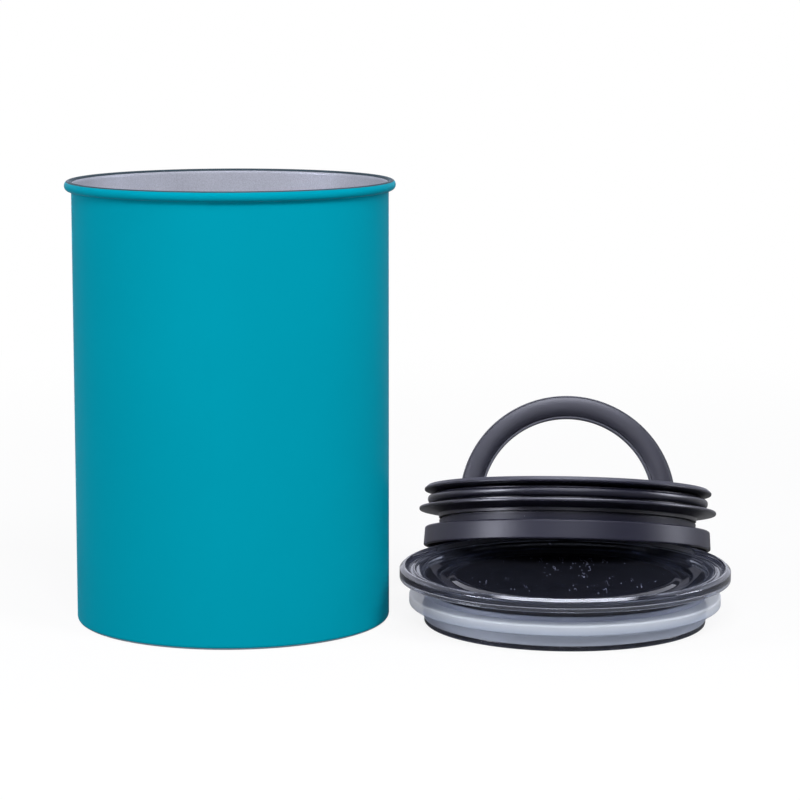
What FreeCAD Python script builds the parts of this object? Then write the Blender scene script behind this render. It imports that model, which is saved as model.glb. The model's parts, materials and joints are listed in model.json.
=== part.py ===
import FreeCAD, Part
import Sketcher
import math
import operator
import os

# A steel coffee canister with both of its lids taken off and laid beside it.
# The frame is the canister's: origin at the middle of its base, +Z up, +X to the lids, +Y to the back.
# Lengths are millimetres and angles are degrees.

SIZES = {
    # Canister of thin steel sheet
    "body_radius": 63.5,
    "steel_thickness": 0.7,
    "canister_height": 178.4,
    "bead_radius": 1.75,
    "bead_turn": 110.0,
    "corner_radius": 1.8,
    "pan_lap": 1.5,
    # Outer lid, a tinted cover that drops into the mouth
    "stand_gap": 1.5,
    "cover_forward": 8.2,
    "cover_height": 22.8,
    "flange_overhang": 0.7,
    "flange_height": 5.4,
    "flange_wall": 2.0,
    "flange_bevel": 1.0,
    "crest_inset": 1.3,
    "crest_width": 1.1,
    "crest_slope": 1.8,
    "crest_round": 0.4,
    "ledge_depth": 2.0,
    "ledge_width": 5.0,
    "ridge_height": 0.6,
    "ridge_width": 1.0,
    "ridge_inset": 1.4,
    "step_depth": 1.6,
    "step_width": 5.4,
    "step_draft": 0.9,
    "dish_depth": 1.7,
    "cover_wall": 1.9,
    "skirt_gap": 5.8,
    "skirt_ring": 3.1,
    "groove_depth": 1.4,
    "groove_height": 10.6,
    # Seal of the outer lid
    "seal_fit": 0.05,
    "seal_proud": 0.3,
    "seal_squeeze": 0.3,
    "seal_collar": 2.1,
    "seal_lip_drop": 0.6,
    "seal_lip_edge": 3.5,
    "seal_lip_root": 5.3,
    "seal_round": 0.4,
    # Inner lid: how it leans on the outer lid's back rim
    "cross_angle": 30.2,
    "roll": 1.4,
    "lean_offset": 4.7,
    "lean_clearance": 0.6,
    # Inner lid: lower half with the guide band
    "lid_wall": 1.7,
    "band_gap": 1.35,
    "recess_depth": 6.5,
    "band_round": 0.8,
    "band_draft": 0.5,
    "neck_gap": 7.8,
    "neck_height": 11.5,
    "well_radius": 24.0,
    # Inner lid: upper half, a tray with the rim lip
    "tray_fit": 0.1,
    "lid_height": 25.9,
    "rim_gap": 1.3,
    "rim_height": 3.2,
    "rim_tip": 0.9,
    "rim_fall": 1.3,
    "rim_slope": 1.5,
    "rim_round": 0.4,
    "seat_height": 0.4,
    "seat_radius": 10.05,
    "seat_width": 0.8,
    "guide_height": 3.0,
    "guide_wall": 1.5,
    "vent_radius": 0.9,
    "vent_circle": 7.6,
    "vent_count": 8,
    "pivot_height": 20.0,
    "boss_width": 10.0,
    "boss_gap": 0.5,
    # Wiper ring of the inner lid
    "wiper_fit": 0.1,
    "joint_gap": 0.6,
    "wiper_root": 3.6,
    "foot_width": 2.0,
    "foot_height": 1.7,
    "wiper_squeeze": 0.8,
    "wiper_rise": 2.3,
    "wiper_tip": 0.9,
    "wiper_waist": 1.0,
    "fin_gap": 2.8,
    "fin_tip": 0.8,
    "fin_height": 3.6,
    "fin_taper": 1.2,
    # Bail handle
    "handle_gap": 5.1,
    "handle_width": 9.9,
    "handle_depth": 6.6,
    "handle_crown": 1.1,
    "handle_ledge": 0.9,
    "handle_rib": 3.0,
    "handle_round": 0.4,
    "handle_past": 5.0,
    "handle_fold": 95.0,
    "hub_radius": 5.2,
    "pin_radius": 1.6,
    "pin_fit": 0.03,
    "pin_play": 0.08,
    "pin_end_gap": 0.8,
    # Bell valve that the handle's hubs press shut
    "valve_lift": 2.2,
    "cam_clearance": 0.15,
    "bridge_thickness": 2.5,
    "bridge_width": 9.0,
    "bridge_end_gap": 0.5,
    "dome_radius": 11.0,
    "dome_wall": 1.9,
    "dome_rise": 5.0,
    "dome_round": 1.4,
    "stem_radius": 2.5,
    "stem_play": 0.1,
    "stem_inset": 0.8,
    "seat_clearance": 0.1,
    # Spring inside the valve's dome
    "wire_radius": 0.45,
    "spring_radius": 5.6,
    "spring_turns": 4,
    "spring_gap": 0.1,
}

PARTS_FOLDER = "parts"

doc = FreeCAD.newDocument("coffee_canister")
sheet = doc.addObject("Spreadsheet::Sheet", "Sizes")
for row, (alias, number) in enumerate(SIZES.items(), start=1):
    sheet.set(f"A{row}", alias)
    sheet.set(f"B{row}", str(number))
    sheet.setAlias(f"B{row}", alias)
doc.recompute()


class Size:
    """A number together with the sheet expression that gives it."""

    signs = {"+": operator.add, "-": operator.sub, "*": operator.mul, "/": operator.truediv}

    def __init__(self, number, text):
        self.number = number
        self.text = text

    @classmethod
    def of(cls, value):
        return value if isinstance(value, Size) else cls(float(value), repr(float(value)))

    @classmethod
    def joined(cls, left, sign, right):
        left, right = cls.of(left), cls.of(right)
        number = cls.signs[sign](left.number, right.number)
        return cls(number, f"({left.text} {sign} {right.text})")

    def __add__(self, other):
        return Size.joined(self, "+", other)

    def __radd__(self, other):
        return Size.joined(other, "+", self)

    def __sub__(self, other):
        return Size.joined(self, "-", other)

    def __rsub__(self, other):
        return Size.joined(other, "-", self)

    def __mul__(self, other):
        return Size.joined(self, "*", other)

    def __rmul__(self, other):
        return Size.joined(other, "*", self)

    def __truediv__(self, other):
        return Size.joined(self, "/", other)

    def __neg__(self):
        return Size.joined(0, "-", self)


def size(alias):
    """The sheet's value under this alias."""
    return Size(float(sheet.get(alias)), f"Sizes.{alias}")


def sine(angle):
    return Size(math.sin(math.radians(angle.number)), f"sin({angle.text})")


def cosine(angle):
    return Size(math.cos(math.radians(angle.number)), f"cos({angle.text})")


def arcsine(value):
    return Size(math.degrees(math.asin(value.number)), f"(asin({value.text}) / (1 deg))")


def arctangent(value):
    return Size(math.degrees(math.atan(value.number)), f"(atan({value.text}) / (1 deg))")


def square_root(value):
    return Size(math.sqrt(value.number), f"sqrt({value.text})")


ZERO = Size.of(0)

# Sizes that several pieces share. Both lids take their radii from the canister's bore.
steel = size("steel_thickness")
body_radius = size("body_radius")
bore = body_radius - steel
pan_top = size("corner_radius") + size("pan_lap")
rim_radius = bore + 2 * size("bead_radius")
flange_radius = rim_radius + size("flange_overhang")
cover_x = rim_radius + flange_radius + size("stand_gap")
cover_y = -size("cover_forward")
crest = size("cover_height")
crest_outer = flange_radius - size("crest_inset")
skirt_radius = bore - size("skirt_gap")
groove_radius = skirt_radius - size("groove_depth")
groove_bottom = size("skirt_ring")
groove_top = groove_bottom + size("groove_height")
lid_wall = size("lid_wall")
band_radius = bore - size("band_gap")
band_round = size("band_round")
neck_radius = bore - size("neck_gap")
neck_top = size("neck_height")
tray_radius = neck_radius - lid_wall - size("tray_fit")
dish_radius = tray_radius - lid_wall
recess = size("recess_depth")
floor_bottom = recess + lid_wall
floor_top = floor_bottom + lid_wall
rim_bottom = size("lid_height") - size("rim_height")
pivot = size("pivot_height")
handle_outer = dish_radius - size("handle_gap")
handle_inner = handle_outer - size("handle_width")
stem_radius = size("stem_radius")

# The hubs are round and off centre, and the valve follows their lowest point down as the handle folds.
# Halfway through the fold their throw lies level, so that the drop is nearly even over the fold.
half_fold = size("handle_fold") / 2
cam_throw = size("valve_lift") / (2 * sine(half_fold))
cam_angle = 90 - half_fold
bridge_top = pivot + size("valve_lift") / 2 - size("hub_radius") - size("cam_clearance")
bridge_bottom = bridge_top - size("bridge_thickness")
dome_radius = size("dome_radius")
dome_inner = dome_radius - size("dome_wall")
dome_top = bridge_top + size("dome_rise")
dome_roof = dome_top - size("dome_wall")
seat_top = floor_top + size("seat_height")

# The leaning lid's axis, and the place of the middle of its lower edge.
# Its back is on the table, and at each side its lower edge crosses the outer lid's back crest.
# Without the roll, the crossings are this far round from the lid's sides towards its front.
roll = size("roll")
cross_height = crest + size("lean_clearance")
cross_reach = band_radius - band_round + band_radius * sine(size("cross_angle"))
lean = arcsine(cross_height / cross_reach)
axis_x = cosine(lean) * sine(roll)
axis_y = sine(lean)
axis_z = cosine(lean) * cosine(roll)
axis_flat = square_root(1 - axis_z * axis_z)
lean_x = cover_x + size("lean_offset")
lean_z = (band_radius - band_round) * axis_flat + band_round * (1 - axis_z)

# With the roll, the place and the side of the right-hand crossing.
roll_turn = arctangent(sine(roll) / (sine(lean) * cosine(roll)))
cross_turn = arcsine((cross_height - lean_z) / (band_radius * axis_flat)) + roll_turn
cross_side = cosine(cross_turn) * cosine(roll) + sine(cross_turn) * sine(lean) * sine(roll)
cross_x = size("lean_offset") + band_radius * cross_side
cross_y = square_root(crest_outer * crest_outer - cross_x * cross_x)
lean_y = cover_y + cross_y + band_radius * sine(cross_turn) * cosine(lean)

nodes = []


def put(part, place, tilt=ZERO, turn=ZERO):
    """Bind a sub-part's place, tilted back about X and then turned about Y."""
    x, y, z = (value.text for value in place)
    turned = f"rotation(0; {turn.text}; 0 - {tilt.text})"
    part.setExpression("Placement", f"placement(vector({x}; {y}; {z}); {turned})")


def put_on_cover(part):
    put(part, (cover_x, cover_y, ZERO))


def put_on_lid(part, height=ZERO, tilt=lean):
    """Bind a sub-part to the leaning lid's axis, at a height above the lid's underside."""
    place = (lean_x + axis_x * height, lean_y + axis_y * height, lean_z + axis_z * height)
    put(part, place, tilt, roll)


def new_body(name):
    body = doc.addObject("PartDesign::Body", name)
    body.Label = name
    body.AllowCompound = True
    nodes.append(body)
    return body


def origin_plane(body, role):
    return [part for part in body.Origin.OriginFeatures if part.Role == role][0]


def new_sketch(body, name, role, offset=None):
    """An empty sketch on one of the body's origin planes, moved along that plane's normal."""
    sketch = body.newObject("Sketcher::SketchObject", name)
    sketch.AttachmentSupport = [(origin_plane(body, role), "")]
    sketch.MapMode = "FlatFace"
    if offset is not None:
        sketch.setExpression("AttachmentOffset.Base.z", offset.text)
    return sketch


def hold(sketch, kind, geometry, value):
    """Add a constraint whose value comes from the sheet."""
    index = sketch.addConstraint(Sketcher.Constraint(kind, *geometry, value.number))
    sketch.setExpression(f"Constraints[{index}]", value.text)


def hold_point(sketch, geometry, end, across, up):
    """Hold a point at its two distances from the sketch's origin."""
    for kind, axis, value in (("DistanceX", -2, across), ("DistanceY", -1, up)):
        if value is ZERO:
            sketch.addConstraint(Sketcher.Constraint("PointOnObject", geometry, end, axis))
        elif value.number < 0:
            hold(sketch, kind, (geometry, end, -1, 1), -value)
        else:
            hold(sketch, kind, (-1, 1, geometry, end), value)


def flat(point):
    return FreeCAD.Vector(point[0].number, point[1].number, 0)


def draw_outline(sketch, points, crown=None, crowned=()):
    """A closed anticlockwise outline through held points. Crowned sides are level and bulge out as arcs."""
    for side, start in enumerate(points):
        end = points[(side + 1) % len(points)]
        if side in crowned:
            chord = flat(end) - flat(start)
            outward = FreeCAD.Vector(chord.y, -chord.x, 0).normalize()
            middle = (flat(start) + flat(end)) / 2 + outward * crown.number
            sketch.addGeometry(Part.Arc(flat(start), middle, flat(end)), False)
        else:
            sketch.addGeometry(Part.LineSegment(flat(start), flat(end)), False)
    for side, (across, up) in enumerate(points):
        sketch.addConstraint(Sketcher.Constraint("Coincident", side, 2, (side + 1) % len(points), 1))
        hold_point(sketch, side, 1, across, up)
    for side in crowned:
        half = (points[(side + 1) % len(points)][0] - points[side][0]) / 2
        hold(sketch, "Radius", (side,), (half * half + crown * crown) / (2 * crown))


def draw_circle(sketch, across, up, radius):
    centre = FreeCAD.Vector(across.number, up.number, 0)
    index = sketch.addGeometry(Part.Circle(centre, FreeCAD.Vector(0, 0, 1), radius.number), False)
    hold_point(sketch, index, 3, across, up)
    hold(sketch, "Radius", (index,), radius)


def draw_block(sketch, half_width, low, high):
    """A rectangle centred across, between two heights."""
    draw_outline(sketch, [(-half_width, low), (half_width, low), (half_width, high), (-half_width, high)])


def turn(body, name, points, kind="PartDesign::Revolution"):
    """Revolve an outline of (radius, height) points about the body's upright axis."""
    sketch = new_sketch(body, f"{name}_outline", "XZ_Plane")
    draw_outline(sketch, points)
    feature = body.newObject(kind, name)
    feature.Profile = sketch
    feature.ReferenceAxis = (sketch, ["V_Axis"])
    feature.Angle = 360
    doc.recompute()
    return feature


def pad(body, name, sketch, length):
    feature = body.newObject("PartDesign::Pad", name)
    feature.Profile = sketch
    feature.setExpression("Length", length.text)
    doc.recompute()
    return feature


def cut_through(body, name, sketch):
    """Cut a sketch right through the body, both ways from the sketch's plane."""
    before = body.Shape.Volume
    feature = body.newObject("PartDesign::Pocket", name)
    feature.Profile = sketch
    feature.Type = "ThroughAll"
    feature.Midplane = True
    doc.recompute()
    if body.Shape.Volume >= before:
        raise RuntimeError(f"{name} cut nothing from {body.Label}")
    return feature


def mirror_sideways(body, name, features):
    """Repeat features on the other side of the body's YZ plane."""
    mirrored = body.newObject("PartDesign::Mirrored", name)
    mirrored.Originals = features
    mirrored.MirrorPlane = (origin_plane(body, "YZ_Plane"), [""])
    body.Tip = mirrored
    doc.recompute()


def repeat_around(body, name, feature, count):
    """Repeat a feature around the body's upright axis."""
    pattern = body.newObject("PartDesign::PolarPattern", name)
    pattern.Originals = [feature]
    pattern.Axis = ([part for part in body.Origin.OriginFeatures if part.Role == "Z_Axis"][0], [""])
    pattern.Angle = 360
    pattern.setExpression("Occurrences", count.text)
    body.Tip = pattern
    doc.recompute()


def round_rings(body, name, radius, rings, along="z"):
    """Round the circular edges at these (radius, height) places of a turned body."""
    base = body.Tip
    edges = []
    for number, edge in enumerate(base.Shape.Edges, start=1):
        if not isinstance(edge.Curve, Part.Circle):
            continue
        height = getattr(edge.Curve.Center, along)
        for ring_radius, ring_height in rings:
            off = abs(edge.Curve.Radius - ring_radius.number) + abs(height - ring_height.number)
            if off < 1e-4:
                edges.append(f"Edge{number}")
    fillet = body.newObject("PartDesign::Fillet", name)
    fillet.Base = (base, edges)
    fillet.setExpression("Radius", radius.text)
    doc.recompute()


def make_canister_wall():
    """The straight wall, rolled over outwards at the top into a hollow bead."""
    body = new_body("canister_wall")
    bead = size("bead_radius")
    curl_height = size("canister_height") - bead
    turn(body, "wall", [
        (bore, pan_top), (body_radius, pan_top), (body_radius, curl_height), (bore, curl_height)])
    sketch = new_sketch(body, "curl_outline", "XZ_Plane")
    centre = FreeCAD.Vector((bore + bead).number, curl_height.number, 0)
    turn_end = size("bead_turn")
    start = -math.radians(turn_end.number)
    for radius in (bead, bead - steel):
        circle = Part.Circle(centre, FreeCAD.Vector(0, 0, 1), radius.number)
        sketch.addGeometry(Part.ArcOfCircle(circle, start, math.pi), False)
    outer, inner = sketch.Geometry
    sketch.addGeometry(Part.LineSegment(outer.EndPoint, inner.EndPoint), False)
    sketch.addGeometry(Part.LineSegment(outer.StartPoint, inner.StartPoint), False)
    joints = ((0, 3, 1, 3), (0, 2, 2, 1), (1, 2, 2, 2), (0, 1, 3, 1), (1, 1, 3, 2))
    for first, end, second, other_end in joints:
        sketch.addConstraint(Sketcher.Constraint("Coincident", first, end, second, other_end))
    for side in (2, 3):
        sketch.addConstraint(Sketcher.Constraint("PointOnObject", 0, 3, side))
    sketch.addConstraint(Sketcher.Constraint("Horizontal", 2))
    hold_point(sketch, 0, 3, bore + bead, curl_height)
    hold(sketch, "Radius", (0,), bead)
    hold(sketch, "Radius", (1,), bead - steel)
    index = sketch.addConstraint(Sketcher.Constraint("Angle", 3, math.pi + start))
    sketch.setExpression(f"Constraints[{index}]", (180 - turn_end).text)
    curl = body.newObject("PartDesign::Revolution", "curl")
    curl.Profile = sketch
    curl.ReferenceAxis = (sketch, ["V_Axis"])
    curl.Angle = 360
    doc.recompute()


def make_canister_base():
    """A shallow drawn pan, butted to the wall above its corner."""
    body = new_body("canister_base")
    corner = size("corner_radius")
    turn(body, "pan", [
        (ZERO, ZERO), (body_radius, ZERO), (body_radius, pan_top), (bore, pan_top), (bore, steel),
        (ZERO, steel)])
    round_rings(body, "outer_corner", corner, [(body_radius, ZERO)])
    round_rings(body, "inner_corner", corner - steel, [(bore, steel)])


def make_cover_shell():
    """The outer lid's tinted moulding: stepped dish, thick flange, and skirt with a groove for the seal."""
    body = new_body("cover_shell")
    flange_bottom = crest - size("flange_height")
    flange_inner = flange_radius - size("flange_wall")
    bevel = size("flange_bevel")
    crest_inner = crest_outer - size("crest_width")
    ledge = crest - size("ledge_depth")
    ledge_outer = crest_inner - size("crest_slope")
    ridge_outer = ledge_outer - size("ridge_inset")
    ridge_inner = ridge_outer - size("ridge_width")
    ridge_top = ledge + size("ridge_height")
    ledge_inner = ledge_outer - size("ledge_width")
    step = ledge - size("step_depth")
    step_outer = ledge_inner - size("step_draft")
    step_inner = step_outer - size("step_width")
    dish = step - size("dish_depth")
    dish_edge = step_inner - size("step_draft")
    wall = size("cover_wall")
    skirt_inner = groove_radius - wall
    turn(body, "moulding", [
        (ZERO, dish - wall), (skirt_inner, dish - wall), (skirt_inner, ZERO), (skirt_radius, ZERO),
        (skirt_radius, groove_bottom), (groove_radius, groove_bottom), (groove_radius, groove_top),
        (skirt_radius, groove_top), (skirt_radius, ledge - wall), (flange_inner, ledge - wall),
        (flange_inner, flange_bottom), (flange_radius, flange_bottom), (flange_radius, crest - bevel),
        (crest_outer, crest), (crest_inner, crest), (ledge_outer, ledge), (ridge_outer, ledge),
        (ridge_outer, ridge_top), (ridge_inner, ridge_top), (ridge_inner, ledge), (ledge_inner, ledge),
        (step_outer, step), (step_inner, step), (dish_edge, dish), (ZERO, dish)])
    round_rings(body, "crest_rounds", size("crest_round"), [
        (flange_radius, crest - bevel), (crest_outer, crest), (crest_inner, crest),
        (flange_radius, flange_bottom), (skirt_radius, ZERO)])
    put_on_cover(body)


def make_cover_seal():
    """The outer lid's soft ring, with one thick lip that the canister's wall presses in."""
    body = new_body("cover_seal")
    fit = size("seal_fit")
    inner = groove_radius + fit
    outer = skirt_radius + size("seal_proud")
    bottom = groove_bottom + fit
    top = groove_top - fit
    lip = bore + size("seal_squeeze")
    root_top = top - size("seal_collar")
    root_bottom = root_top - size("seal_lip_root")
    lip_top = root_top - size("seal_lip_drop")
    lip_bottom = lip_top - size("seal_lip_edge")
    turn(body, "ring", [
        (inner, bottom), (outer, bottom), (outer, root_bottom), (lip, lip_bottom), (lip, lip_top),
        (outer, root_top), (outer, top), (inner, top)])
    round_rings(body, "lip_rounds", size("seal_round"), [
        (lip, lip_bottom), (lip, lip_top), (outer, bottom), (outer, top)])
    put_on_cover(body)


def make_lid_base():
    """The inner lid's lower half: guide band, recessed plate that is open in the middle, and neck."""
    body = new_body("lid_base")
    well = size("well_radius")
    band_inner = band_radius - lid_wall
    band_top = band_radius - size("band_draft")
    neck_inner = neck_radius - lid_wall
    turn(body, "moulding", [
        (well, recess), (band_inner, recess), (band_inner, ZERO), (band_radius, ZERO),
        (band_top, floor_bottom), (neck_radius, floor_bottom), (neck_radius, neck_top),
        (neck_inner, neck_top), (neck_inner, floor_bottom), (well, floor_bottom)])
    round_rings(body, "band_rounds", band_round, [(band_radius, ZERO), (band_top, floor_bottom)])
    put_on_lid(body)


def make_lid_tray():
    """The inner lid's upper half: dished tray with the rim lip, pivot bosses, valve guide, seat and vents."""
    body = new_body("lid_tray")
    guide = stem_radius + size("stem_play")
    guide_outer = guide + size("guide_wall")
    guide_top = floor_top + size("guide_height")
    seat_inner = size("seat_radius") - size("seat_width") / 2
    seat_outer = size("seat_radius") + size("seat_width") / 2
    rim = bore - size("rim_gap")
    rim_top = rim - size("rim_slope")
    lid_top = size("lid_height")
    tip_top = lid_top - size("rim_fall")
    tip_bottom = tip_top - size("rim_tip")
    turn(body, "moulding", [
        (guide, floor_bottom), (tray_radius, floor_bottom), (tray_radius, rim_bottom), (rim, tip_bottom),
        (rim, tip_top), (rim_top, lid_top), (dish_radius, lid_top), (dish_radius, floor_top),
        (seat_outer, floor_top), (seat_outer, seat_top), (seat_inner, seat_top), (seat_inner, floor_top),
        (guide_outer, floor_top), (guide_outer, guide_top), (guide, guide_top)])
    round_rings(body, "rim_rounds", size("rim_round"), [
        (rim, tip_bottom), (rim, tip_top), (rim_top, lid_top), (dish_radius, lid_top)])
    boss_face = handle_outer + size("boss_gap")
    boss = new_sketch(body, "boss_outline", "YZ_Plane", boss_face)
    draw_block(boss, size("boss_width") / 2, floor_bottom + lid_wall / 2, pivot)
    block = pad(body, "boss", boss, dish_radius + lid_wall / 2 - boss_face)
    crown = new_sketch(body, "boss_crown_outline", "YZ_Plane", boss_face)
    draw_circle(crown, ZERO, pivot, size("boss_width") / 2)
    top = pad(body, "boss_crown", crown, dish_radius + lid_wall / 2 - boss_face)
    mirror_sideways(body, "bosses", [block, top])
    holes = new_sketch(body, "pin_hole_outline", "YZ_Plane")
    draw_circle(holes, ZERO, pivot, size("pin_radius") + size("pin_fit"))
    cut_through(body, "pin_holes", holes)
    vents = new_sketch(body, "vent_outline", "XY_Plane")
    draw_circle(vents, size("vent_circle"), ZERO, size("vent_radius"))
    vent = cut_through(body, "vent", vents)
    repeat_around(body, "vents", vent, size("vent_count"))
    put_on_lid(body)


def make_wiper():
    """The inner lid's soft ring: a flared wiping lip below and a smaller fin above it."""
    body = new_body("wiper_ring")
    inner = tray_radius + size("wiper_fit")
    outer = inner + size("wiper_root")
    foot = inner + size("foot_width")
    bottom = neck_top + size("joint_gap")
    foot_top = bottom + size("foot_height")
    top = rim_bottom - size("wiper_fit")
    lip = bore + size("wiper_squeeze")
    lip_bottom = foot_top + size("wiper_rise")
    lip_top = lip_bottom + size("wiper_tip")
    fin = bore - size("fin_gap")
    fin_bottom = lip_top + size("wiper_waist")
    fin_top = fin_bottom + size("fin_height")
    turn(body, "ring", [
        (inner, bottom), (foot, bottom), (foot, foot_top), (lip, lip_bottom), (lip, lip_top),
        (outer, lip_top), (outer, fin_bottom), (fin, fin_bottom), (fin, fin_bottom + size("fin_tip")),
        (fin - size("fin_taper"), fin_top), (outer, fin_top), (outer, top), (inner, top)])
    put_on_lid(body)


def make_handle():
    """The bail: a half ring of crowned section whose hubs are eccentric discs on the pivot pins."""
    body = new_body("handle")
    ledge = size("handle_ledge")
    rib = size("handle_rib") / 2
    crown = size("handle_crown")
    face = size("handle_depth") / 2 - crown
    sketch = new_sketch(body, "arch_section", "XY_Plane")
    draw_outline(sketch, [
        (handle_inner, -rib), (handle_inner + ledge, -rib), (handle_inner + ledge, -face),
        (handle_outer - ledge, -face), (handle_outer - ledge, -rib), (handle_outer, -rib),
        (handle_outer, rib), (handle_outer - ledge, rib), (handle_outer - ledge, face),
        (handle_inner + ledge, face), (handle_inner + ledge, rib), (handle_inner, rib)],
        crown, crowned=(2, 8))
    arch = body.newObject("PartDesign::Revolution", "arch")
    arch.Profile = sketch
    arch.ReferenceAxis = (sketch, ["V_Axis"])
    arch.Angle = 180
    arch.Reversed = True
    doc.recompute()
    rib_radii = (handle_inner, handle_outer)
    face_radii = (handle_inner + ledge, handle_outer - ledge)
    edges = [(radius, side) for radius in rib_radii for side in (-rib, rib)]
    edges += [(radius, side) for radius in face_radii for side in (-face, face)]
    round_rings(body, "arch_rounds", size("handle_round"), edges, along="y")
    throw = cam_angle + size("handle_past")
    hub_outline = new_sketch(body, "hub_outline", "YZ_Plane", handle_inner)
    draw_circle(hub_outline, -(cam_throw * sine(throw)), cam_throw * cosine(throw), size("hub_radius"))
    hub = pad(body, "hub", hub_outline, size("handle_width"))
    mirror_sideways(body, "hubs", [hub])
    holes = new_sketch(body, "pin_hole_outline", "YZ_Plane")
    draw_circle(holes, ZERO, ZERO, size("pin_radius") + size("pin_play"))
    cut_through(body, "pin_holes", holes)
    put_on_lid(body, pivot, lean + size("handle_past"))


def make_pins():
    """The two pivot pins, fixed in the tray's bosses and behind the wiper ring."""
    body = new_body("handle_pins")
    start = handle_inner + size("pin_end_gap")
    sketch = new_sketch(body, "pin_outline", "YZ_Plane", start)
    draw_circle(sketch, ZERO, pivot, size("pin_radius"))
    pin = pad(body, "pin", sketch, tray_radius - size("pin_end_gap") - start)
    mirror_sideways(body, "pins", [pin])
    put_on_lid(body)


def make_valve_plunger():
    """The valve's dome and stem in one piece with the bridge that the hubs press on."""
    body = new_body("valve_plunger")
    stem_bottom = floor_bottom + size("stem_inset")
    turn(body, "dome", [
        (ZERO, stem_bottom), (stem_radius, stem_bottom), (stem_radius, bridge_bottom),
        (dome_radius, bridge_bottom), (dome_radius, dome_top), (ZERO, dome_top)])
    round_rings(body, "dome_round", size("dome_round"), [(dome_radius, dome_top)])
    sketch = new_sketch(body, "bridge_outline", "XY_Plane", bridge_bottom)
    reach = handle_outer - size("bridge_end_gap")
    draw_block(sketch, reach, -size("bridge_width") / 2, size("bridge_width") / 2)
    pad(body, "bridge", sketch, size("bridge_thickness"))
    solid = body.Shape.Volume
    turn(body, "spring_well", [
        (stem_radius, bridge_bottom), (dome_inner, bridge_bottom), (dome_inner, dome_roof),
        (stem_radius, dome_roof)], "PartDesign::Groove")
    if body.Shape.Volume >= solid:
        raise RuntimeError("the spring's well cut nothing")
    put_on_lid(body)


def make_valve_seal():
    """The soft ring under the dome's rim that closes on the seat round the vents."""
    body = new_body("valve_seal")
    bottom = seat_top + size("seat_clearance") + size("valve_lift")
    turn(body, "ring", [
        (dome_inner, bottom), (dome_radius, bottom), (dome_radius, bridge_bottom),
        (dome_inner, bridge_bottom)])
    round_rings(body, "ring_rounds", size("seal_round"), [(dome_inner, bottom), (dome_radius, bottom)])
    put_on_lid(body)


def arc_from(start, heading, end):
    """The arc that leaves start along heading and ends at end."""
    chord = end - start
    side = (chord - heading * chord.dot(heading)).normalize()
    centre = start + side * (chord.dot(chord) / (2 * chord.dot(side)))
    outward = ((start + end) / 2 - centre).normalize()
    return Part.Arc(start, centre + outward * centre.distanceToPoint(start), end)


def make_valve_spring():
    """The round-wire spring in the dome, one tube along tangent arcs of a quarter turn."""
    wire = size("wire_radius").number
    mean = size("spring_radius").number
    turns = size("spring_turns").number
    low = (floor_top + size("spring_gap")).number + wire
    high = (dome_roof - size("spring_gap")).number - wire
    steps = round(4 * turns)
    slope = math.atan2(high - low, 2 * math.pi * mean * turns)

    def station(step):
        angle = step * 2 * math.pi * turns / steps
        height = low + (high - low) * step / steps
        place = FreeCAD.Vector(mean * math.cos(angle), mean * math.sin(angle), height)
        level = FreeCAD.Vector(-math.sin(angle), math.cos(angle), 0)
        return place, level * math.cos(slope) + FreeCAD.Vector(0, 0, math.sin(slope))

    edges = []
    for step in range(steps):
        (start, leaving), (end, arriving) = station(step), station(step + 1)
        span = end - start
        bend = 2 * (1 - leaving.dot(arriving))
        pull = span.dot(leaving + arriving)
        reach = (math.sqrt(pull * pull + bend * span.dot(span)) - pull) / bend
        middle = (start + end + (leaving - arriving) * reach) / 2
        edges.append(arc_from(start, leaving, middle).toShape())
        edges.append(arc_from(end, -arriving, middle).toShape())
    spine = Part.Wire(edges)
    place, heading = station(0)
    section = Part.Wire(Part.Circle(place, heading, wire).toShape())
    spring = doc.addObject("Part::Feature", "valve_spring")
    spring.Label = "valve_spring"
    spring.Shape = spine.makePipeShell([section], True, False)
    gap = (high - low) / turns * math.cos(slope) - 2 * wire
    print("valve_spring gap between turns:", round(gap, 2), "mm")
    put_on_lid(spring)
    nodes.append(spring)


def check_and_write():
    """Refuse any failed object, then write each sub-part under its own name."""
    doc.recompute()
    for part in doc.Objects:
        if {"Invalid", "Error"} & set(part.State):
            raise RuntimeError(f"{part.Label} failed: {part.State}")
    os.makedirs(PARTS_FOLDER, exist_ok=True)
    for part in nodes:
        if part.Shape.isNull() or not part.Shape.isValid() or not part.Shape.Solids:
            raise RuntimeError(f"{part.Label} has no valid solid")
    for part in nodes:
        part.Shape.exportStep(os.path.join(PARTS_FOLDER, f"{part.Label}.step"))
        box = part.Shape.BoundBox
        corners = (box.XMin, box.XMax, box.YMin, box.YMax, box.ZMin, box.ZMax)
        print(part.Label, len(part.Shape.Solids), [round(value, 2) for value in corners])


make_canister_wall()
make_canister_base()
make_cover_shell()
make_cover_seal()
make_lid_base()
make_lid_tray()
make_wiper()
make_handle()
make_pins()
make_valve_plunger()
make_valve_seal()
make_valve_spring()
check_and_write()
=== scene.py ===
import json
import math

import bmesh
import bpy
from mathutils import Matrix, Vector


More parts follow.
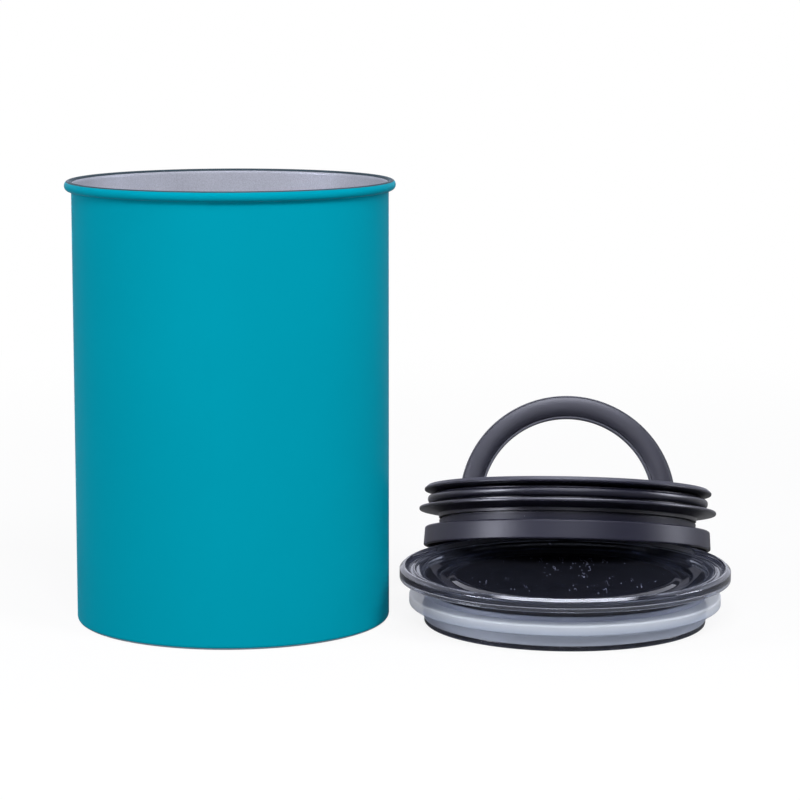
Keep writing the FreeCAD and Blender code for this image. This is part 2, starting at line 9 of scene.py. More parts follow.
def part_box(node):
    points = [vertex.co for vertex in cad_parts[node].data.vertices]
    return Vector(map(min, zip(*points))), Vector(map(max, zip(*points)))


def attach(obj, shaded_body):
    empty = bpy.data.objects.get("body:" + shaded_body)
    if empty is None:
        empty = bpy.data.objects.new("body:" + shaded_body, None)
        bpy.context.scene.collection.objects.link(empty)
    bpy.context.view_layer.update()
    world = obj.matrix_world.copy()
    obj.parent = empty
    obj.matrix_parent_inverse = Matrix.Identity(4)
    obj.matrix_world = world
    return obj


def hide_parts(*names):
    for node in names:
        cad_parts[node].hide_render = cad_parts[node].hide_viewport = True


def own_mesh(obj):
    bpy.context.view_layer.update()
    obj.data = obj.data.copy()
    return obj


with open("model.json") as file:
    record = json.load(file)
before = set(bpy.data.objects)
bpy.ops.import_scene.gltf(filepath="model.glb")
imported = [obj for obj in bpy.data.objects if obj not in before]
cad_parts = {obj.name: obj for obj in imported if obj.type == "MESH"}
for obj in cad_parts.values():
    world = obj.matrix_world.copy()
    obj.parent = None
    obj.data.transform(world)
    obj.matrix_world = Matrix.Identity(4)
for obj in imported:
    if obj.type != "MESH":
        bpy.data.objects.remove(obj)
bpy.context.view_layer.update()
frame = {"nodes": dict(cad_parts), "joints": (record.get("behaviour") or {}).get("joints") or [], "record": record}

# A painted steel canister, with its smoke-tinted cover and its plunger lid laid beside it.
# The scene is in metres. The sizes below are in millimetres, and so are outlines, whose corners
# are (radius, height, rounding of that corner).

MM = 0.001
TURN_STEPS = 360
ROUND_SEGMENTS = 4
MERGE_GAP = 0.004
BUMP_DEPTH = 0.1

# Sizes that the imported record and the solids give
record = frame["record"]
joints = {joint["name"]: joint for joint in frame["joints"]}
bore = next(mount["dims"]["r_mm"] for mount in record["mounts"] if mount["name"] == "mouth")
wall_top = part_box("canister_wall")[1]
cover_low, cover_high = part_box("cover_shell")
cover_middle = (cover_low + cover_high) / 2
can_height = wall_top.z / MM
rim_radius = wall_top.x / MM
flange_radius = (cover_high.x - cover_low.x) / 2 / MM
cover_height = cover_high.z / MM
lid_up = -Vector(joints["valve_stroke"]["axis"]).normalized()
lid_right = Vector(joints["handle_fold"]["axis"]).normalized()
lid_back = lid_up.cross(lid_right)
pivot = Vector(joints["handle_fold"]["pos_m"])

# Canister
STEEL = 0.7
BODY_RADIUS = bore + STEEL
BEAD = (rim_radius - bore) / 2
BEAD_TURN = 290.0
BEAD_STEPS = 40
BEAD_STRETCH = 1.15
FOOT_ROUND = 1.8

# Painted dark reflection: a dark line painted along the top of the rim, which reaches lower on the inner side
PAINTED_LINE_LOW = can_height - 0.5
PAINTED_LINE_FADE = 0.2
PAINTED_LINE_INNER_DROP = 0.45

# Cover, from its flange in to the plateau of its dish
FLANGE_WALL = 2.0
FLANGE_BOTTOM = cover_height - 5.4
FLANGE_SHOULDER = cover_height - 1.2
CREST_OUTER = flange_radius - 1.3
CREST_INNER = CREST_OUTER - 1.1
CREST_FOOT = CREST_INNER - 1.8
LEDGE = cover_height - 2.0
LEDGE_RADIUS = 57.8
RIDGE_OUTER = 61.5
RIDGE_INNER = 60.3
RIDGE_DRAFT = 0.1
RIDGE_TOP = LEDGE + 0.7
STEP = LEDGE - 1.6
STEP_RADIUS = 56.9
DISH = STEP - 1.7
DISH_RADIUS = 50.6
DISH_DRAFT = 0.9
PLATEAU = DISH + 0.9
PLATEAU_RADIUS = 44.5
PLATEAU_DRAFT = 2.5
LINT_RADIUS = 38.0
COVER_WALL = 1.9
SKIRT = bore - 5.8
GROOVE = SKIRT - 1.4
GROOVE_LOW = 2.0
GROOVE_HIGH = 13.7

# Between these radii the tint pales towards the thin rim of the flange
PALE_START = 62.3
PALE_FULL = 63.5

# Soft ring in the cover's groove
SEAL_SEAT = 0.05
SEAL_BODY = SKIRT + 0.3
SEAL_LIP = bore + 0.3
LIP_HIGH = GROOVE_HIGH - 1.8
LIP_TIP = LIP_HIGH - 0.4
LIP_LOW = LIP_HIGH - 4.7
LIP_ROOT = LIP_LOW - 0.7

# Plunger lid
PIVOT_HEIGHT = 20.0
LID_WALL = 1.7
BAND = bore - 1.35
BAND_HEIGHT = 8.2
BAND_DRAFT = 0.5
RECESS = 6.5
WELL = 24.0
NECK = bore - 7.8
NECK_HEIGHT = 11.2
NECK_DRAFT = 0.35

# Wiper round the plunger lid, from its foot up
WIPER_INNER = NECK - LID_WALL
WIPER_CORE = WIPER_INNER + 3.6
WIPER_BOTTOM = NECK_HEIGHT + 0.9
WIPER_TOP = 22.6
WIPER_FOOT = WIPER_INNER + 2.0
WIPER_FOOT_DRAFT = 0.2
WIPER_FOOT_TOP = WIPER_BOTTOM + 1.7
WIPER_LIP = bore + 0.8
WIPER_LIP_LOW = WIPER_FOOT_TOP + 1.5
WIPER_LIP_HIGH = WIPER_LIP_LOW + 1.4
FIN = bore - 2.8
FIN_LOW = WIPER_LIP_HIGH + 1.3
FIN_HIGH = FIN_LOW + 3.6

# Rib along the handle's inner edge, measured from the pivot
HANDLE_INNER = NECK - 2 * LID_WALL - 15.1
RIB_EDGE = HANDLE_INNER + 0.9

# Spring in the valve's dome
WIRE = 0.45
WIRE_SIDES = 12
COIL = 5.6
COIL_TURNS = 4
COIL_STEPS = 32 * COIL_TURNS
COIL_BOTTOM = 10.0
COIL_TOP = 18.75

# The canister stands at the origin, the cover beside it, and the lid leans on the cover
AT_CANISTER = Matrix.Identity(4)
AT_COVER = Matrix.Translation((cover_middle.x, cover_middle.y, 0))
AT_LID = Matrix.Translation(pivot - lid_up * PIVOT_HEIGHT * MM)
AT_LID @= Matrix((lid_right, lid_back, lid_up)).transposed().to_4x4()


class Signal:
    """A shader socket that takes part in Python sums by adding Math nodes."""

    def __init__(self, shop, socket):
        self.shop = shop
        self.socket = socket

    def __getitem__(self, output):
        """Another output of the same node."""
        return Signal(self.shop, self.socket.node.outputs[output])

    def joined(self, operation, first, second):
        """A Math node on two values."""
        return self.shop.node("ShaderNodeMath", {"operation": operation}, {0: first, 1: second})

    def __add__(self, other):
        return self.joined("ADD", self, other)

    def __radd__(self, other):
        return self.joined("ADD", other, self)

    def __sub__(self, other):
        return self.joined("SUBTRACT", self, other)

    def __rsub__(self, other):
        return self.joined("SUBTRACT", other, self)

    def __mul__(self, other):
        return self.joined("MULTIPLY", self, other)

    def __pow__(self, other):
        return self.joined("POWER", self, other)

    def __gt__(self, other):
        return self.joined("GREATER_THAN", self, other)

    def __lt__(self, other):
        return self.joined("LESS_THAN", self, other)

    def __or__(self, other):
        return self.joined("MAXIMUM", self, other)


class FinishShop:
    """Makes the nodes of one material or world."""

    def __init__(self, owner):
        owner.use_nodes = True
        self.owner = owner
        self.tree = owner.node_tree
        self.tree.nodes.clear()

    def node(self, kind, settings, sockets, output=0):
        """A new node of this kind: settings first, then its sockets' values or links."""
        node = self.tree.nodes.new(kind)
        for name, value in settings.items():
            setattr(node, name, value)
        for name, value in sockets.items():
            if isinstance(value, Signal):
                self.tree.links.new(value.socket, node.inputs[name])
            else:
                node.inputs[name].default_value = value
        return Signal(self, node.outputs[output] if node.outputs else None)

    def place(self, frame_of_piece):
        """Object coordinates, turned into a piece's own upright frame."""
        sockets = {
            "Vector": self.node("ShaderNodeTexCoord", {}, {}, "Object"),
            "Location": frame_of_piece.to_translation(),
            "Rotation": frame_of_piece.to_euler()}
        return self.node("ShaderNodeMapping", {"vector_type": "TEXTURE"}, sockets)

    def axes(self, vector):
        """The three parts of a vector."""
        parts = self.node("ShaderNodeSeparateXYZ", {}, {0: vector})
        return parts["X"], parts["Y"], parts["Z"]

    def round_axes(self, vector):
        """The distance from the upright axis, and the height."""
        x, y, z = self.axes(vector)
        return (x * x + y * y) ** 0.5, z

    def noise(self, vector, grain_mm, detail=2.0, roughness=0.5):
        """Soft noise whose grains are about this many millimetres across."""
        sockets = {"Vector": vector, "Scale": 1 / (grain_mm * MM), "Detail": detail, "Roughness": roughness}
        return self.node("ShaderNodeTexNoise", {}, sockets)

    def specks(self, vector, apart_mm, share, dimensions="3D"):
        """Small spots about this far apart, 1 inside and 0 outside."""
        sockets = {"Vector": vector, "Scale": 1 / (apart_mm * MM)}
        return self.node("ShaderNodeTexVoronoi", {"voronoi_dimensions": dimensions}, sockets) < share

    def between(self, value, low, high):
        """A smooth rise from 0 at low to 1 at high."""
        sockets = {"Value": value, "From Min": low, "From Max": high}
        return self.node("ShaderNodeMapRange", {"interpolation_type": "SMOOTHSTEP"}, sockets)

    def blend(self, factor, first, second):
        """A colour between two colours."""
        return self.node("ShaderNodeMix", {"data_type": "RGBA"}, {0: factor, 6: first, 7: second}, 2)

    def bump(self, height, strength):
        """A bumpy normal from a height that varies over the surface."""
        sockets = {"Strength": strength, "Distance": BUMP_DEPTH * MM, "Height": height}
        return self.node("ShaderNodeBump", {}, sockets)

    def surface(self, **sockets):
        """Close the material with a Principled shader."""
        named = {name.replace("_", " "): value for name, value in sockets.items()}
        shader = self.node("ShaderNodeBsdfPrincipled", {}, named)
        self.node("ShaderNodeOutputMaterial", {}, {"Surface": shader})
        return self.owner


def shop_for(name):
    """The node maker of a new material."""
    return FinishShop(bpy.data.materials.new(name))


def shown(red, green, blue):
    """A colour given as it shows on screen, 0 to 255, made linear."""
    parts = [value / 255 for value in (red, green, blue)]
    return [part / 12.92 if part <= 0.04045 else ((part + 0.055) / 1.055) ** 2.4 for part in parts] + [1.0]


DUST_GREY = shown(120, 122, 132)


def teal_coat_over_steel():
    """Satin teal coat outside, blasted steel inside, and a painted dark reflection line along the top of the rim.
    """
    shop = shop_for("teal_coat_over_steel")
    place = shop.place(AT_CANISTER)
    radius, height = shop.round_axes(place)
    wall_middle = (bore + STEEL / 2) * MM
    rim_middle = (bore + BEAD) * MM
    on_rim = height > (can_height - 2 * BEAD * BEAD_STRETCH) * MM
    bare = (radius < wall_middle + on_rim * (rim_middle - wall_middle)) * (height > STEEL / 2 * MM)
    inner_side = radius < rim_middle
    # Painted dark reflection: a grey line painted on the top of the rim, lower on its inner side
    painted_line_height = height + inner_side * (PAINTED_LINE_INNER_DROP * MM)
    painted_dark_line = shop.between(painted_line_height, PAINTED_LINE_LOW * MM, (PAINTED_LINE_LOW + PAINTED_LINE_FADE) * MM)
    mottle = shop.noise(place, 60, detail=3.0)
    peel = shop.noise(place, 0.7)
    grain = shop.noise(place, 0.45, detail=3.0, roughness=0.7)
    cloud = shop.noise(place, 14, detail=4.0)
    teal = shop.blend(mottle, shown(0, 150, 173), shown(0, 156, 179))
    steel = shop.blend(grain * 0.8 + cloud * 0.2, shown(106, 108, 120), shown(210, 213, 228))
    return shop.surface(
        Base_Color=shop.blend(painted_dark_line, shop.blend(bare, teal, steel), shown(58, 70, 78)),
        Metallic=bare * (1 - painted_dark_line) * 0.07,
        Roughness=0.34 + peel * 0.06 + bare * grain * 0.1,
        Normal=shop.bump(peel * (1 - bare) * 0.5 + grain * bare, 0.15),
        Specular_IOR_Level=0.008)


def smoke_plastic():
    """Polished smoke-grey plastic that is seen through, with a faint film of dust and, in its dish, lint."""
    shop = shop_for("smoke_plastic")
    place = shop.place(AT_COVER)
    radius, height = shop.round_axes(place)
    in_dish = (radius < LINT_RADIUS * MM) * (height > DISH * MM)
    lengthwise = shop.node("ShaderNodeMapping", {}, {"Vector": place, "Scale": (1, 0.16, 1)})
    patchy = shop.between(shop.noise(place, 24, detail=1.0), 0.42, 0.64)
    curly = shop.noise(lengthwise, 2.2, detail=1.0)
    fibres = (curly > 0.489) * (curly < 0.511) * shop.specks(lengthwise, 5.0, 0.22, "2D")
    crumbs = shop.specks(lengthwise, 3.6, 0.042, "2D")
    dust = (fibres | crumbs) * patchy * in_dish
    ripple = shop.noise(place, 9)
    film = 0.011 + ripple * 0.012
    pale = shop.between(radius, PALE_START * MM, PALE_FULL * MM)
    tint = shop.blend(ripple, shown(80, 86, 104), shown(94, 100, 118))
    smoke = shop.node("ShaderNodeBsdfPrincipled", {}, {
        "Base Color": shop.blend(pale, tint, shown(208, 212, 224)),
        "Roughness": 0.005 + ripple * 0.01,
        "IOR": 1.49,
        "Transmission Weight": 1.0})
    lint = shop.node("ShaderNodeBsdfPrincipled", {}, {
        "Base Color": shop.blend(ripple, shown(184, 192, 238), shown(214, 221, 252)),
        "Roughness": 0.8})
    mixed = shop.node("ShaderNodeMixShader", {}, {0: dust * 0.5 | film, 1: smoke, 2: lint})
    shop.node("ShaderNodeOutputMaterial", {}, {"Surface": mixed})
    return shop.owner


def pale_silicone():
    """Milky silicone, clearer at its thin lip, with painted shade on its body and on the collar above the lip, and
    painted light towards the top of the lip.
    """
    shop = shop_for("pale_silicone")
    place = shop.place(AT_COVER)
    radius, height = shop.round_axes(place)
    lip = shop.between(radius, SEAL_BODY * MM, (SEAL_BODY + 1.0) * MM)
    # Painted shade: the collar above the lip is a darker grey, as under the flange
    painted_collar_shade = shop.between(height, (LIP_HIGH - 0.3) * MM, (LIP_HIGH + 0.1) * MM)
    # Painted light: the lip is lighter towards its top, as lit from above
    painted_lip_light = shop.between(height, LIP_LOW * MM, LIP_HIGH * MM)
    haze = shop.noise(place, 8, detail=3.0)
    tooth = shop.noise(place, 0.5)
    shaded_body = shop.blend(haze, shown(182, 190, 206), shown(194, 202, 218))
    ring = shop.blend(painted_collar_shade, shaded_body, shown(150, 157, 173))
    thin_lip = shop.blend(painted_lip_light, shown(200, 211, 231), shown(240, 247, 255))
    return shop.surface(
        # Painted shade: the body is given a greyer colour than the thin lip, which is also more see-through
        Base_Color=shop.blend(lip, ring, thin_lip),
        Roughness=0.34 + haze * 0.12,
        Normal=shop.bump(tooth, 0.06),
        Alpha=0.98 - lip * 0.4)


def black_moulding():
    """Satin black plastic with a fine moulded tooth and a few specks of dust."""
    shop = shop_for("black_moulding")
    place = shop.place(AT_LID)
    tooth = shop.noise(place, 0.4)
    cloud = shop.noise(place, 22, detail=4.0)
    dust = shop.specks(place, 7.5, 0.03)
    black = shop.blend(cloud, shown(19, 19, 30), shown(28, 28, 41))
    return shop.surface(
        Base_Color=shop.blend(dust * 0.4, black, DUST_GREY),
        Roughness=0.37 + cloud * 0.08 + tooth * 0.05,
        Normal=shop.bump(tooth, 0.1),
        Specular_IOR_Level=0.3)


def handle_moulding():
    """Coarser black plastic of the bail handle, with a painted highlight along the rib on its inner edge."""
    shop = shop_for("handle_moulding")
    place = shop.place(AT_LID)
    pivot_place = (0, 0, PIVOT_HEIGHT * MM)
    reach = shop.node("ShaderNodeVectorMath", {"operation": "DISTANCE"}, {0: place, 1: pivot_place}, "Value")
    # Painted highlight: a lighter grey line along the rib on the handle's inner edge
    painted_rib_highlight = shop.between(reach, (RIB_EDGE + 0.1) * MM, (RIB_EDGE - 0.2) * MM)
    tooth = shop.noise(place, 0.5)
    wear = shop.noise(place, 16, detail=3.0)
    black = shop.blend(wear, shown(20, 20, 28), shown(30, 30, 40))
    return shop.surface(
        Base_Color=shop.blend(painted_rib_highlight, black, shown(96, 97, 108)),
        Roughness=0.52 - wear * 0.08 + tooth * 0.05,
        Normal=shop.bump(tooth, 0.12),
        Specular_IOR_Level=0.42)


def black_rubber():
    """Smooth black rubber, a little greyer where coffee dust clings."""
    shop = shop_for("black_rubber")
    place = shop.place(AT_LID)
    cloud = shop.noise(place, 14, detail=4.0)
    tooth = shop.noise(place, 0.35)
    dust = shop.specks(place, 3.2, 0.035)
    black = shop.blend(cloud, shown(17, 17, 29), shown(27, 27, 40))
    return shop.surface(
        Base_Color=shop.blend(dust * 0.5, black, DUST_GREY),
        Roughness=0.27 + cloud * 0.12,
        Normal=shop.bump(tooth, 0.06),
        Specular_IOR_Level=0.5)


def grey_moulding():
    """Dark grey plastic of the valve's dome."""
    shop = shop_for("grey_moulding")
    place = shop.place(AT_LID)
    cloud = shop.noise(place, 11, detail=3.0)
    tooth = shop.noise(place, 0.4)
    return shop.surface(
        Base_Color=shop.blend(cloud, shown(52, 52, 58), shown(66, 66, 72)),
        Roughness=0.42 + cloud * 0.12,
        Normal=shop.bump(tooth, 0.08))


def drawn_steel():
    """Bright drawn steel of the pins and the spring."""
    shop = shop_for("drawn_steel")
    streak = shop.noise(shop.place(AT_LID), 1.1, detail=3.0)
    return shop.surface(
        Base_Color=shop.blend(streak, shown(150, 150, 156), shown(206, 206, 212)),
        Roughness=0.24 + streak * 0.14,
        Metallic=1.0)


def chain(bm, corners):
    """A run of edges through (radius, height, rounding) corners in the XZ plane, and its points."""
    points = [bm.verts.new((radius * MM, 0, height * MM)) for radius, height, rounding in corners]
    for start, end in zip(points, points[1:]):
        bm.edges.new((start, end))
    return points


def round_corners(bm, points, corners):
    """Round each corner of an outline that has a rounding."""
    for rounding in sorted({corner[2] for corner in corners if corner[2]}):
        chosen = [point for point, corner in zip(points, corners) if corner[2] == rounding]
        bmesh.ops.bevel(bm, geom=chosen, offset=rounding * MM, offset_type="OFFSET",
                        segments=ROUND_SEGMENTS, profile=0.5, affect="VERTICES", material=-1)


def turned(bm, place):
    """Turn the outline into a closed ring or vessel and put it in its place."""
    bmesh.ops.spin(bm, geom=bm.verts[:] + bm.edges[:], cent=(0, 0, 0), axis=(0, 0, 1), angle=2 * math.pi,
                   steps=TURN_STEPS, use_merge=True)
    bmesh.ops.remove_doubles(bm, verts=bm.verts, dist=MERGE_GAP * MM)
    bmesh.ops.recalc_face_normals(bm, faces=bm.faces)
    bmesh.ops.transform(bm, matrix=place, verts=bm.verts)


def show(name, bm, shaded_body, finish, slot, *nodes):
    """Make the mesh a smooth piece that rides on a body and stands for its solids."""
    mesh = bpy.data.meshes.new(name)
    bm.to_mesh(mesh)
    bm.free()
    mesh.shade_smooth()
    mesh.materials.append(finish)
    piece = bpy.data.objects.new(name, mesh)
    bpy.context.scene.collection.objects.link(piece)
    piece.modifiers.new("even_shading", "WEIGHTED_NORMAL")
    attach(piece, shaded_body)
    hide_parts(*nodes)
    return piece


def turned_ring(name, corners, place, shaded_body, finish, slot, node):
    """A ring or lid from a closed outline."""
    bm = bmesh.new()
    points = chain(bm, corners)
    bm.edges.new((points[-1], points[0]))
    round_corners(bm, points, corners)
    turned(bm, place)
    show(name, bm, shaded_body, finish, slot, node)


def curl(bm, point, centre):
    """Roll the rim outwards from a point on the wall, and give the curl's last point."""
    rolled = bmesh.ops.spin(bm, geom=[point], cent=centre, axis=(0, 1, 0), angle=math.radians(BEAD_TURN),
                            steps=BEAD_STEPS)
    return rolled["geom_last"][0]


def make_canister(finish):
    """The painted vessel: flat bottom with a rounded foot, straight wall, and a rim rolled outwards."""
    bm = bmesh.new()
    curl_height = can_height - BEAD
    centre = ((bore + BEAD) * MM, 0, curl_height * MM)
    lining = [(0, STEEL, 0), (bore, STEEL, FOOT_ROUND - STEEL), (bore, curl_height, 0)]
    skin = [(0, 0, 0), (BODY_RADIUS, 0, FOOT_ROUND), (BODY_RADIUS, curl_height, 0)]
    lining_points = chain(bm, lining)
    skin_points = chain(bm, skin)
    bm.edges.new((curl(bm, lining_points[-1], centre), curl(bm, skin_points[-1], centre)))
    rim = [point for point in bm.verts if point.co.z > (can_height - 3 * BEAD) * MM]
    from_the_top = Matrix.Translation((0, 0, -can_height * MM))
    bmesh.ops.scale(bm, vec=(1, 1, BEAD_STRETCH), space=from_the_top, verts=rim)
    round_corners(bm, lining_points + skin_points, lining + skin)
    turned(bm, AT_CANISTER)
    nodes = ("canister_wall", "canister_base")
    canister = show("painted_canister", bm, "canister", finish, "teal_paint", *nodes)
    # The lids are lit as if they stood alone, as in the photo
    canister.visible_glossy = False
    canister.visible_transmission = False
    canister.visible_diffuse = False


def make_cover(smoke, silicone):
    """The tinted cover with its stepped dish, and the soft ring in its groove."""
    roof = DISH - COVER_WALL
    hollow = GROOVE - COVER_WALL
    under_ledge = LEDGE - COVER_WALL
    flange_inner = flange_radius - FLANGE_WALL
    turned_ring("tinted_cover", [
        (0, roof, 0), (hollow, roof, 0.5), (hollow, 0, 0.4),
        (SKIRT, 0, 0.5), (SKIRT, GROOVE_LOW, 0.25), (GROOVE, GROOVE_LOW, 0),
        (GROOVE, GROOVE_HIGH, 0), (SKIRT, GROOVE_HIGH, 0.25), (SKIRT, under_ledge, 0.5),
        (flange_inner, under_ledge, 0.4), (flange_inner, FLANGE_BOTTOM, 0.4),
        (flange_radius, FLANGE_BOTTOM, 0.8), (flange_radius, FLANGE_SHOULDER, 0.25),
        (CREST_OUTER, cover_height, 0.2), (CREST_INNER, cover_height, 0.45), (CREST_FOOT, LEDGE, 0.3),
        (RIDGE_OUTER, LEDGE, 0.15), (RIDGE_OUTER - RIDGE_DRAFT, RIDGE_TOP, 0.4),
        (RIDGE_INNER + RIDGE_DRAFT, RIDGE_TOP, 0.4), (RIDGE_INNER, LEDGE, 0.15),
        (LEDGE_RADIUS, LEDGE, 0.6), (STEP_RADIUS, STEP, 0.3), (DISH_RADIUS + DISH_DRAFT, STEP, 0.6),
        (DISH_RADIUS, DISH, 0.3), (PLATEAU_RADIUS + PLATEAU_DRAFT, DISH, 0.5),
        (PLATEAU_RADIUS, PLATEAU, 0.6), (0, PLATEAU, 0)],
        AT_COVER, "outer_lid", smoke, "tinted_plastic", "cover_shell")
    bottom = GROOVE_LOW + SEAL_SEAT
    inside = GROOVE + SEAL_SEAT
    top = GROOVE_HIGH - SEAL_SEAT
    turned_ring("cover_gasket", [
        (inside, bottom, 0), (SEAL_BODY, bottom, 0.4), (SEAL_BODY, LIP_ROOT, 0.5),
        (SEAL_LIP, LIP_LOW, 0.9), (SEAL_LIP, LIP_TIP, 0.8), (SEAL_BODY, LIP_HIGH, 0.25),
        (SEAL_BODY, top, 0.4), (inside, top, 0)],
        AT_COVER, "outer_lid", silicone, "pale_silicone", "cover_seal")


def make_lid_rings(plastic, rubber):
    """The plunger lid's lower half with its guide band, and the soft wiper above it."""
    band_inner = BAND - LID_WALL
    neck_inner = NECK - LID_WALL
    turned_ring("guide_band", [
        (WELL, RECESS, 0.3), (band_inner, RECESS, 0.5), (band_inner, 0, 0.5),
        (BAND, 0, 0.8), (BAND - BAND_DRAFT, BAND_HEIGHT, 0.8),
        (NECK - NECK_DRAFT, BAND_HEIGHT, 0.4), (NECK, NECK_HEIGHT, 0.2),
        (neck_inner, NECK_HEIGHT, 0.2), (neck_inner, BAND_HEIGHT, 0), (WELL, BAND_HEIGHT, 0)],
        AT_LID, "inner_lid", plastic, "black_plastic", "lid_base")
    turned_ring("wiper_gasket", [
        (WIPER_INNER, WIPER_BOTTOM, 0), (WIPER_FOOT - WIPER_FOOT_DRAFT, WIPER_BOTTOM, 0.2),
        (WIPER_FOOT, WIPER_FOOT_TOP, 0.5), (WIPER_LIP, WIPER_LIP_LOW, 0.5),
        (WIPER_LIP, WIPER_LIP_HIGH, 0.6), (WIPER_CORE, WIPER_LIP_HIGH, 0.3),
        (WIPER_CORE, FIN_LOW, 0.3), (FIN, FIN_LOW, 1.8), (FIN, FIN_HIGH, 1.3),
        (WIPER_CORE, FIN_HIGH, 0.3), (WIPER_CORE, WIPER_TOP, 0), (WIPER_INNER, WIPER_TOP, 0)],
        AT_LID, "inner_lid", rubber, "black_rubber", "wiper_ring")


def make_valve_coil(finish):
    """The spring in the valve's dome, built at its full length; nothing here shortens it as the folding handle
    presses the valve down.
    """
    bm = bmesh.new()
    bmesh.ops.create_circle(bm, segments=WIRE_SIDES, radius=WIRE * MM)
    bmesh.ops.rotate(bm, cent=(0, 0, 0), matrix=Matrix.Rotation(math.pi / 2, 3, "X"), verts=bm.verts)
    bmesh.ops.translate(bm, vec=(COIL * MM, 0, (COIL_BOTTOM + WIRE) * MM), verts=bm.verts)
    length = COIL_TOP - COIL_BOTTOM
    climb = (length - 2 * WIRE) / COIL_STEPS
    bmesh.ops.spin(bm, geom=bm.verts[:] + bm.edges[:], cent=(0, 0, 0), axis=(0, 0, 1),
                   dvec=(0, 0, climb * MM), angle=2 * math.pi * COIL_TURNS, steps=COIL_STEPS)
    bmesh.ops.holes_fill(bm, edges=bm.edges, sides=WIRE_SIDES)
    bmesh.ops.recalc_face_normals(bm, faces=bm.faces)
    bmesh.ops.transform(bm, matrix=AT_LID, verts=bm.verts)
    coil = show("valve_coil", bm, "inner_lid", finish, "bare_steel", "valve_spring")
    stroke = joints["valve_stroke"]["range_m"][1] / MM
    AT_LID @ Vector((0, 0, COIL_BOTTOM * MM))
    1 - stroke / length
    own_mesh(coil)


def camera_as_photographed():
    """The camera that was fitted to the edges in the photo."""
    focal_pixels = 2975.4
    frame_pixels = 800
    degrees_down = 8.33
    data = bpy.data.cameras.new("camera")
    data.sensor_width = 36.0
    data.lens = data.sensor_width * focal_pixels / frame_pixels
    data.clip_end = 60.0
    camera = bpy.data.objects.new("camera", data)
    camera.location = (0.06798, -1.19203, 0.26362)
    camera.rotation_euler = (math.radians(90 - degrees_down), 0, 0)
    bpy.context.scene.collection.objects.link(camera)
    bpy.context.scene.camera = camera


def soft_box(name, place, width, height, power):
    """A soft lamp aimed at the middle of the group; reflections see the surround's patches instead."""
    group_middle = Vector((0.07, 0, 0.08))
    data = bpy.data.lights.new(name, "AREA")
    data.shape = "RECTANGLE"
    data.size = width
    data.size_y = height
    data.energy = power
    lamp = bpy.data.objects.new(name, data)
    lamp.location = place
    lamp.rotation_euler = (group_middle - Vector(place)).to_track_quat("-Z", "Y").to_euler()
    lamp.visible_glossy = False
    bpy.context.scene.collection.objects.link(lamp)


def white_surround():
    """Plain white in view; for light and reflections, a cool white backdrop and five bright patches."""
    world = bpy.data.worlds.new("white_surround")
    shop = FinishShop(world)
    path = shop.node("ShaderNodeLightPath", {}, {})
    x, y, z = shop.axes(shop.node("ShaderNodeTexCoord", {}, {}, "Generated"))
    side_fade = 0.05
    height_fade = 0.06

    def patch(across, low, high, bottom, top):
        """1 inside a patch of the surround, with soft edges."""
        inside = shop.between(across, low - side_fade, low) * shop.between(across, high + side_fade, high)
        inside *= shop.between(z, bottom - height_fade, bottom)
        return inside * shop.between(z, top + height_fade, top)

    seen = path["Is Camera Ray"] | path["Is Transmission Ray"]
    glossy = path["Is Glossy Ray"]
    backdrop = shop.between(y, -0.05, 0.3)
    left = patch(y, -0.47, -0.27, 0.05, 0.5) * (x < 0)
    right = patch(y, -0.06, 0.24, 0.05, 0.5) * (x > 0)
    front = patch(x, -0.2, 0.2, 0.2, 0.45) * (y < 0)
    overhead = shop.between(z, 0.88, 0.93)
    above_camera = patch(x, -0.5, 0.5, 0.5, 0.7) * (y < 0)
    # Each patch has its own brightness, and the backdrop has 1
    reflected = 0.04 + (backdrop | left * 28 | right * 12 | front * 4 | above_camera * 4 | overhead * 15)
    lit = 0.2 + backdrop * 0.4
    level = seen + (1 - seen) * (glossy * reflected + (1 - glossy) * lit)
    colour = shop.blend(seen, (0.93, 0.95, 1.08, 1), (1, 1, 1, 1))
    back = shop.node("ShaderNodeBackground", {}, {"Color": colour, "Strength": level})
    shop.node("ShaderNodeOutputWorld", {}, {"Surface": back})
    bpy.context.scene.world = world


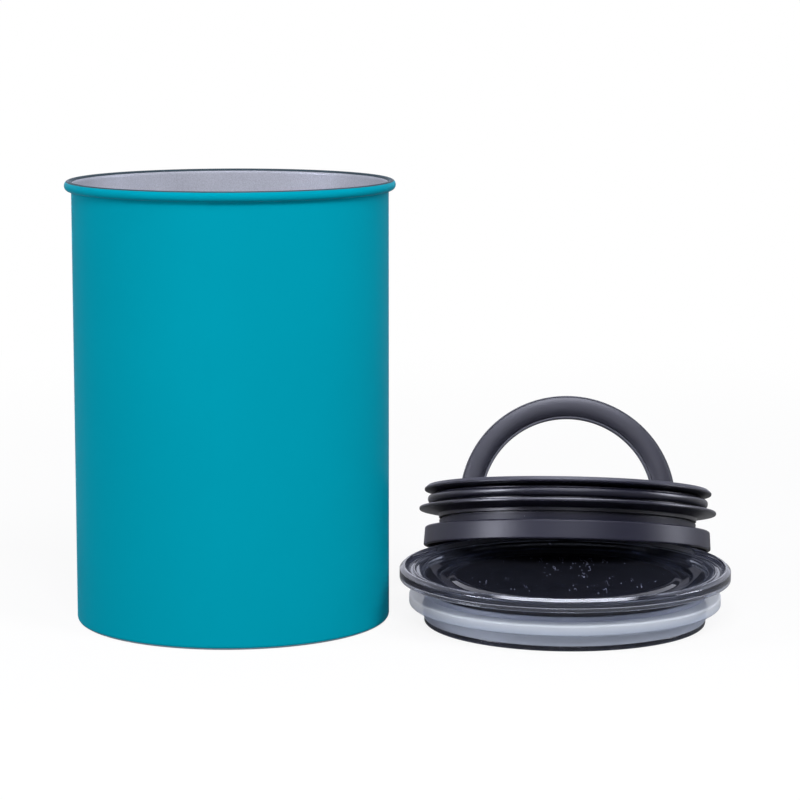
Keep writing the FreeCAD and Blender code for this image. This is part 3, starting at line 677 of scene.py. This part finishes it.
def white_floor():
    """A wide white floor that keeps a faint shadow near the group."""
    half_width = 30.0
    drop = 0.1 * MM
    bm = bmesh.new()
    bmesh.ops.create_grid(bm, x_segments=1, y_segments=1, size=half_width)
    bmesh.ops.translate(bm, vec=(0, 0, -drop), verts=bm.verts)
    mesh = bpy.data.meshes.new("floor")
    bm.to_mesh(mesh)
    bm.free()
    shop = shop_for("white_floor")
    path = shop.node("ShaderNodeLightPath", {}, {})

    def away_from(place):
        return shop.round_axes(shop.place(place))[0]

    # These reaches are in metres
    from_cover = away_from(AT_COVER)
    near = shop.between(from_cover, 0.9, 0.2)
    open_floor = shop.between(from_cover, 0.1, 0.3)
    clear_of_canister = shop.between(away_from(AT_CANISTER), 0.1, 0.3)
    paper_colour = shop.blend(path["Is Camera Ray"], (0.32, 0.32, 0.32, 1), (0.9, 0.9, 0.9, 1))
    paper = shop.node("ShaderNodeBsdfDiffuse", {}, {"Color": paper_colour})
    glow = shop.node("ShaderNodeEmission", {}, {"Color": (1, 1, 1, 1), "Strength": 1.0})
    in_view = path["Is Camera Ray"] * (1 - near * 0.12)
    in_gloss = path["Is Glossy Ray"] * clear_of_canister * 0.25
    in_glass = (path["Is Transmission Ray"] | in_gloss) * open_floor
    mixed = shop.node("ShaderNodeMixShader", {}, {0: in_view | in_glass, 1: paper, 2: glow})
    shop.node("ShaderNodeOutputMaterial", {}, {"Surface": mixed})
    mesh.materials.append(shop.owner)
    floor = bpy.data.objects.new("floor", mesh)
    bpy.context.scene.collection.objects.link(floor)


black = black_moulding()
rubber = black_rubber()
steel = drawn_steel()
node_finishes = {
    "lid_tray": black,
    "handle": handle_moulding(),
    "handle_pins": steel,
    "valve_plunger": grey_moulding(),
    "valve_seal": rubber}
for name, finish in node_finishes.items():
    mesh = frame["nodes"][name].data
    mesh.materials.clear()
    mesh.materials.append(finish)
make_canister(teal_coat_over_steel())
make_cover(smoke_plastic(), pale_silicone())
make_lid_rings(black, rubber)
make_valve_coil(steel)

bpy.context.scene.view_settings.view_transform = "Standard"
camera_as_photographed()
white_surround()
white_floor()
soft_box("main_light", (0.07, -1.25, 1.15), width=0.7, height=0.5, power=15.8)
soft_box("left_light", (-1.5, -0.5, 0.7), width=0.6, height=1.0, power=9.5)
soft_box("right_light", (1.15, -1.0, 1.2), width=0.6, height=1.0, power=13.5)
